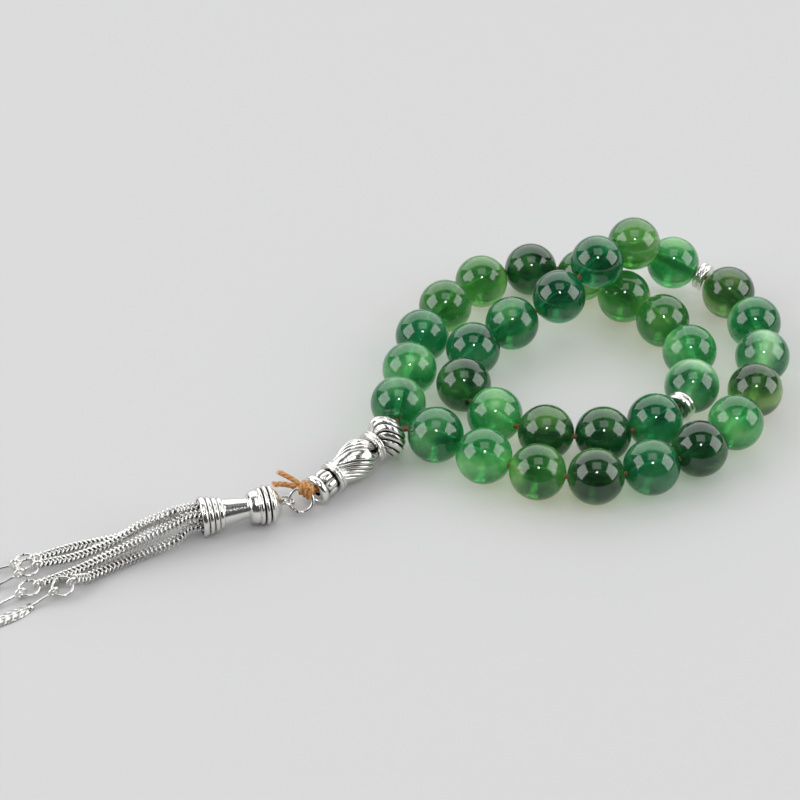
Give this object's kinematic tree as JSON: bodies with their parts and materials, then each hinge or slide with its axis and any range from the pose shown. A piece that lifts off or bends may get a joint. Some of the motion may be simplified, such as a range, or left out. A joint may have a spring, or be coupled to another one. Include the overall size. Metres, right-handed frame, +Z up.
{
  "type": "prayer bead string",
  "caption": "Misbaha: green stone prayer beads strung on a waxed cord, laid in two turns, with divider discs, a turned leader and a tassel of woven chains with leaf charms.",
  "frame": {"origin": "on the surface that the string lies on, under the middle of the laid-out string and tassel", "axes": "+X from the tassel to the far side of the bead loop, +Y across the loop away from the leader, +Z up from the surface"},
  "size_m": [0.1523, 0.0992, 0.0184],
  "materials": {
    "bead_stone": "polished",
    "silver": "antiqued",
    "waxed_cord": "waxed"
  },
  "bodies": {
    "string": {"stringing_cord": "waxed_cord"},
    "bead_01": {"bead_01": "bead_stone"},
    "bead_02": {"bead_02": "bead_stone"},
    "bead_03": {"bead_03": "bead_stone"},
    "bead_04": {"bead_04": "bead_stone"},
    "bead_05": {"bead_05": "bead_stone"},
    "bead_06": {"bead_06": "bead_stone"},
    "bead_07": {"bead_07": "bead_stone"},
    "bead_08": {"bead_08": "bead_stone"},
    "bead_09": {"bead_09": "bead_stone"},
    "bead_10": {"bead_10": "bead_stone"},
    "bead_11": {"bead_11": "bead_stone"},
    "bead_12": {"bead_12": "bead_stone"},
    "bead_13": {"bead_13": "bead_stone"},
    "bead_14": {"bead_14": "bead_stone"},
    "bead_15": {"bead_15": "bead_stone"},
    "bead_16": {"bead_16": "bead_stone"},
    "bead_17": {"bead_17": "bead_stone"},
    "bead_18": {"bead_18": "bead_stone"},
    "bead_19": {"bead_19": "bead_stone"},
    "bead_20": {"bead_20": "bead_stone"},
    "bead_21": {"bead_21": "bead_stone"},
    "bead_22": {"bead_22": "bead_stone"},
    "bead_23": {"bead_23": "bead_stone"},
    "bead_24": {"bead_24": "bead_stone"},
    "bead_25": {"bead_25": "bead_stone"},
    "bead_26": {"bead_26": "bead_stone"},
    "bead_27": {"bead_27": "bead_stone"},
    "bead_28": {"bead_28": "bead_stone"},
    "bead_29": {"bead_29": "bead_stone"},
    "bead_30": {"bead_30": "bead_stone"},
    "bead_31": {"bead_31": "bead_stone"},
    "bead_32": {"bead_32": "bead_stone"},
    "bead_33": {"bead_33": "bead_stone"},
    "divider_disc_1": {"divider_disc_1": "silver"},
    "divider_disc_2": {"divider_disc_2": "silver"},
    "imam": {"imam_cord": "waxed_cord"},
    "imam_ball": {"imam_ball": "silver"},
    "imam_collar_disc": {"imam_collar_disc": "silver"},
    "imam_vase": {"imam_vase": "silver"},
    "imam_neck_disc": {"imam_neck_disc": "silver"},
    "imam_drum": {"imam_drum": "silver"},
    "imam_end_disc": {"imam_end_disc": "silver"},
    "jump_ring": {"jump_ring": "silver"},
    "tassel": {"tassel_cap": "silver", "eye_pin": "silver"},
    "chain_1": {"chain_1": "silver"},
    "end_ring_1": {"end_ring_1": "silver"},
    "charm_1": {"charm_1": "silver"},
    "chain_2": {"chain_2": "silver"},
    "end_ring_2": {"end_ring_2": "silver"},
    "charm_2": {"charm_2": "silver"},
    "chain_3": {"chain_3": "silver"},
    "end_ring_3": {"end_ring_3": "silver"},
    "charm_3": {"charm_3": "silver"},
    "chain_4": {"chain_4": "silver"},
    "end_ring_4": {"end_ring_4": "silver"},
    "charm_4": {"charm_4": "silver"}
  },
  "joints": [
    {"name": "bead_01_spin", "type": "hinge", "parent": "string", "child": "bead_01", "pos_m": [0.0047, 0.00349, 0.005], "axis": [0.1104, 0.9938, 0.0085], "continuous": true},
    {"name": "bead_02_spin", "type": "hinge", "parent": "string", "child": "bead_02", "pos_m": [0.00676, 0.01342, 0.005], "axis": [0.2196, 0.9756, 0], "continuous": true},
    {"name": "bead_03_spin", "type": "hinge", "parent": "string", "child": "bead_03", "pos_m": [0.00915, 0.02326, 0.005], "axis": [0.3385, 0.941, 0], "continuous": true},
    {"name": "bead_04_spin", "type": "hinge", "parent": "string", "child": "bead_04", "pos_m": [0.01358, 0.03238, 0.005], "axis": [0.5586, 0.8294, 0], "continuous": true},
    {"name": "bead_05_spin", "type": "hinge", "parent": "string", "child": "bead_05", "pos_m": [0.02063, 0.0402, 0.005], "axis": [0.8188, 0.5741, 0], "continuous": true},
    {"name": "bead_06_spin", "type": "hinge", "parent": "string", "child": "bead_06", "pos_m": [0.03028, 0.04412, 0.005], "axis": [0.9946, 0.104, 0], "continuous": true},
    {"name": "bead_07_spin", "type": "hinge", "parent": "string", "child": "bead_07", "pos_m": [0.04026, 0.04234, 0.005], "axis": [0.8944, -0.4474, 0], "continuous": true},
    {"name": "bead_08_spin", "type": "hinge", "parent": "string", "child": "bead_08", "pos_m": [0.04767, 0.03542, 0.005], "axis": [0.6977, -0.7164, 0], "continuous": true},
    {"name": "bead_09_spin", "type": "hinge", "parent": "string", "child": "bead_09", "pos_m": [0.05439, 0.02783, 0.005], "axis": [0.5421, -0.8403, 0], "continuous": true},
    {"name": "bead_10_spin", "type": "hinge", "parent": "string", "child": "bead_10", "pos_m": [0.05853, 0.01858, 0.005], "axis": [0.1832, -0.9831, 0], "continuous": true},
    {"name": "bead_11_spin", "type": "hinge", "parent": "string", "child": "bead_11", "pos_m": [0.058, 0.00847, 0.005], "axis": [-0.3445, -0.9388, 0], "continuous": true},
    {"name": "bead_12_spin", "type": "hinge", "parent": "string", "child": "bead_12", "pos_m": [0.05042, -0.00148, 0.005], "axis": [-0.8, -0.6, 0], "continuous": true},
    {"name": "bead_13_spin", "type": "hinge", "parent": "string", "child": "bead_13", "pos_m": [0.04097, -0.00511, 0.005], "axis": [-0.9878, -0.1555, 0], "continuous": true},
    {"name": "bead_14_spin", "type": "hinge", "parent": "string", "child": "bead_14", "pos_m": [0.03086, -0.00456, 0.005], "axis": [-0.9623, 0.2719, 0], "continuous": true},
    {"name": "bead_15_spin", "type": "hinge", "parent": "string", "child": "bead_15", "pos_m": [0.02195, 0.00026, 0.005], "axis": [-0.7289, 0.6846, 0.0006], "continuous": true},
    {"name": "bead_16_spin", "type": "hinge", "parent": "string", "child": "bead_16", "pos_m": [0.01658, 0.00885, 0.00501], "axis": [-0.1817, 0.9832, 0.0174], "continuous": true},
    {"name": "bead_17_spin", "type": "hinge", "parent": "string", "child": "bead_17", "pos_m": [0.01853, 0.01879, 0.00533], "axis": [0.486, 0.8721, 0.0569], "continuous": true},
    {"name": "bead_18_spin", "type": "hinge", "parent": "string", "child": "bead_18", "pos_m": [0.02593, 0.02564, 0.00611], "axis": [0.8229, 0.5234, 0.2214], "continuous": true},
    {"name": "bead_19_spin", "type": "hinge", "parent": "string", "child": "bead_19", "pos_m": [0.03475, 0.02911, 0.0097], "axis": [0.8053, 0.4667, 0.3657], "continuous": true},
    {"name": "bead_20_spin", "type": "hinge", "parent": "string", "child": "bead_20", "pos_m": [0.04209, 0.03501, 0.01344], "axis": [0.749, 0.6441, 0.1553], "continuous": true},
    {"name": "bead_21_spin", "type": "hinge", "parent": "string", "child": "bead_21", "pos_m": [0.04954, 0.04182, 0.01276], "axis": [0.8184, 0.4595, -0.3451], "continuous": true},
    {"name": "bead_22_spin", "type": "hinge", "parent": "string", "child": "bead_22", "pos_m": [0.05758, 0.0437, 0.00691], "axis": [0.8893, -0.2125, -0.405], "continuous": true},
    {"name": "bead_23_spin", "type": "hinge", "parent": "string", "child": "bead_23", "pos_m": [0.06769, 0.03659, 0.00501], "axis": [0.6178, -0.7823, -0.0801], "continuous": true},
    {"name": "bead_24_spin", "type": "hinge", "parent": "string", "child": "bead_24", "pos_m": [0.07148, 0.02719, 0.005], "axis": [0.2073, -0.9783, -0.0005], "continuous": true},
    {"name": "bead_25_spin", "type": "hinge", "parent": "string", "child": "bead_25", "pos_m": [0.07183, 0.01707, 0.005], "axis": [-0.1066, -0.9943, 0.0002], "continuous": true},
    {"name": "bead_26_spin", "type": "hinge", "parent": "string", "child": "bead_26", "pos_m": [0.06934, 0.00725, 0.005], "axis": [-0.3491, -0.9371, 0], "continuous": true},
    {"name": "bead_27_spin", "type": "hinge", "parent": "string", "child": "bead_27", "pos_m": [0.0648, -0.0018, 0.005], "axis": [-0.5832, -0.8123, 0], "continuous": true},
    {"name": "bead_28_spin", "type": "hinge", "parent": "string", "child": "bead_28", "pos_m": [0.05767, -0.009, 0.005], "axis": [-0.7986, -0.6019, 0], "continuous": true},
    {"name": "bead_29_spin", "type": "hinge", "parent": "string", "child": "bead_29", "pos_m": [0.04879, -0.01387, 0.005], "axis": [-0.9311, -0.3649, 0], "continuous": true},
    {"name": "bead_30_spin", "type": "hinge", "parent": "string", "child": "bead_30", "pos_m": [0.03897, -0.01633, 0.005], "axis": [-0.9981, -0.0623, 0], "continuous": true},
    {"name": "bead_31_spin", "type": "hinge", "parent": "string", "child": "bead_31", "pos_m": [0.02892, -0.01511, 0.005], "axis": [-0.9622, 0.2723, 0], "continuous": true},
    {"name": "bead_32_spin", "type": "hinge", "parent": "string", "child": "bead_32", "pos_m": [0.01972, -0.01088, 0.005], "axis": [-0.8717, 0.4901, 0], "continuous": true},
    {"name": "bead_33_spin", "type": "hinge", "parent": "string", "child": "bead_33", "pos_m": [0.01132, -0.00521, 0.005], "axis": [-0.8958, 0.4444, -0.0081], "continuous": true},
    {"name": "divider_disc_1_spin", "type": "hinge", "parent": "string", "child": "divider_disc_1", "pos_m": [0.05535, 0.00265, 0.005], "axis": [-0.6058, -0.7956, 0], "continuous": true},
    {"name": "divider_disc_2_spin", "type": "hinge", "parent": "string", "child": "divider_disc_2", "pos_m": [0.06332, 0.04157, 0.00515], "axis": [0.8083, -0.5688, -0.1517], "continuous": true},
    {"name": "imam_swing", "type": "hinge", "parent": "string", "child": "imam", "pos_m": [0.0027, -0.0051, 0.0046], "axis": [0, 0, 1], "range_deg": [-18, 18]},
    {"name": "imam_ball_spin", "type": "hinge", "parent": "imam", "child": "imam_ball", "pos_m": [0.0027, -0.0051, 0.0046], "axis": [-0.7033, -0.7033, -0.1031], "continuous": true},
    {"name": "imam_collar_disc_spin", "type": "hinge", "parent": "imam", "child": "imam_collar_disc", "pos_m": [0.00022, -0.00758, 0.00424], "axis": [-0.7033, -0.7033, -0.1031], "continuous": true},
    {"name": "imam_vase_spin", "type": "hinge", "parent": "imam", "child": "imam_vase", "pos_m": [-0.00326, -0.01106, 0.00373], "axis": [-0.7033, -0.7033, -0.1031], "continuous": true},
    {"name": "imam_neck_disc_spin", "type": "hinge", "parent": "imam", "child": "imam_neck_disc", "pos_m": [-0.00659, -0.01439, 0.00324], "axis": [-0.7033, -0.7033, -0.1031], "continuous": true},
    {"name": "imam_drum_spin", "type": "hinge", "parent": "imam", "child": "imam_drum", "pos_m": [-0.00798, -0.01578, 0.00304], "axis": [-0.7033, -0.7033, -0.1031], "continuous": true},
    {"name": "imam_end_disc_spin", "type": "hinge", "parent": "imam", "child": "imam_end_disc", "pos_m": [-0.00949, -0.01728, 0.00281], "axis": [-0.7033, -0.7033, -0.1031], "continuous": true},
    {"name": "jump_ring_turn", "type": "hinge", "parent": "imam", "child": "jump_ring", "pos_m": [-0.0121, -0.01985, 0.0026], "axis": [0, -0.7709, 0.6369], "continuous": true},
    {"name": "tassel_swing", "type": "hinge", "parent": "imam", "child": "tassel", "pos_m": [-0.01415, -0.01985, 0.0026], "axis": [0, 0, 1], "range_deg": [-6, 25]},
    {"name": "chain_1_swing", "type": "hinge", "parent": "tassel", "child": "chain_1", "pos_m": [-0.02939, -0.02339, 0.003], "axis": [0, 0, -1], "range_deg": [0, 20]},
    {"name": "end_ring_1_flip", "type": "hinge", "parent": "chain_1", "child": "end_ring_1", "pos_m": [-0.05663, -0.03289, 0.00115], "axis": [-0.4147, 0.91, 0], "range_deg": [0, 7]},
    {"name": "charm_1_flip", "type": "hinge", "parent": "end_ring_1", "child": "charm_1", "pos_m": [-0.05976, -0.03433, 0.00115], "axis": [-0.4226, 0.9063, 0], "range_deg": [0, 40]},
    {"name": "chain_2_swing", "type": "hinge", "parent": "tassel", "child": "chain_2", "pos_m": [-0.02919, -0.02401, 0.00499], "axis": [-0.2332, 0.7747, -0.5878], "range_deg": [0, 20]},
    {"name": "end_ring_2_flip", "type": "hinge", "parent": "chain_2", "child": "end_ring_2", "pos_m": [-0.05578, -0.03543, 0.0021], "axis": [-0.3342, 0.9282, 0.1637], "range_deg": [0, 45]},
    {"name": "charm_2_flip", "type": "hinge", "parent": "end_ring_2", "child": "charm_2", "pos_m": [-0.05862, -0.03719, 0.00179], "axis": [-0.7017, 0.7017, 0.1237], "range_deg": [0, 40]},
    {"name": "chain_3_swing", "type": "hinge", "parent": "tassel", "child": "chain_3", "pos_m": [-0.0286, -0.02602, 0.00499], "axis": [-0.2811, 0.9597, 0], "range_deg": [0, 20]},
    {"name": "end_ring_3_flip", "type": "hinge", "parent": "chain_3", "child": "end_ring_3", "pos_m": [-0.0552, -0.03927, 0.00131], "axis": [-0.4847, 0.8726, 0.061], "range_deg": [0, 45]},
    {"name": "charm_3_flip", "type": "hinge", "parent": "end_ring_3", "child": "charm_3", "pos_m": [-0.05798, -0.04125, 0.00117], "axis": [-0.6682, 0.7421, 0.0519], "range_deg": [0, 40]},
    {"name": "chain_4_swing", "type": "hinge", "parent": "tassel", "child": "chain_4", "pos_m": [-0.02844, -0.02664, 0.003], "axis": [0, 0, 1], "range_deg": [0, 20]},
    {"name": "end_ring_4_flip", "type": "hinge", "parent": "chain_4", "child": "end_ring_4", "pos_m": [-0.04964, -0.03934, 0.00201], "axis": [-0.5324, 0.7954, 0.2895], "range_deg": [0, 45]},
    {"name": "charm_4_flip", "type": "hinge", "parent": "end_ring_4", "child": "charm_4", "pos_m": [-0.05252, -0.04111, 0.00137], "axis": [-0.5638, 0.7761, 0.2825], "range_deg": [0, 40]}
  ]
}
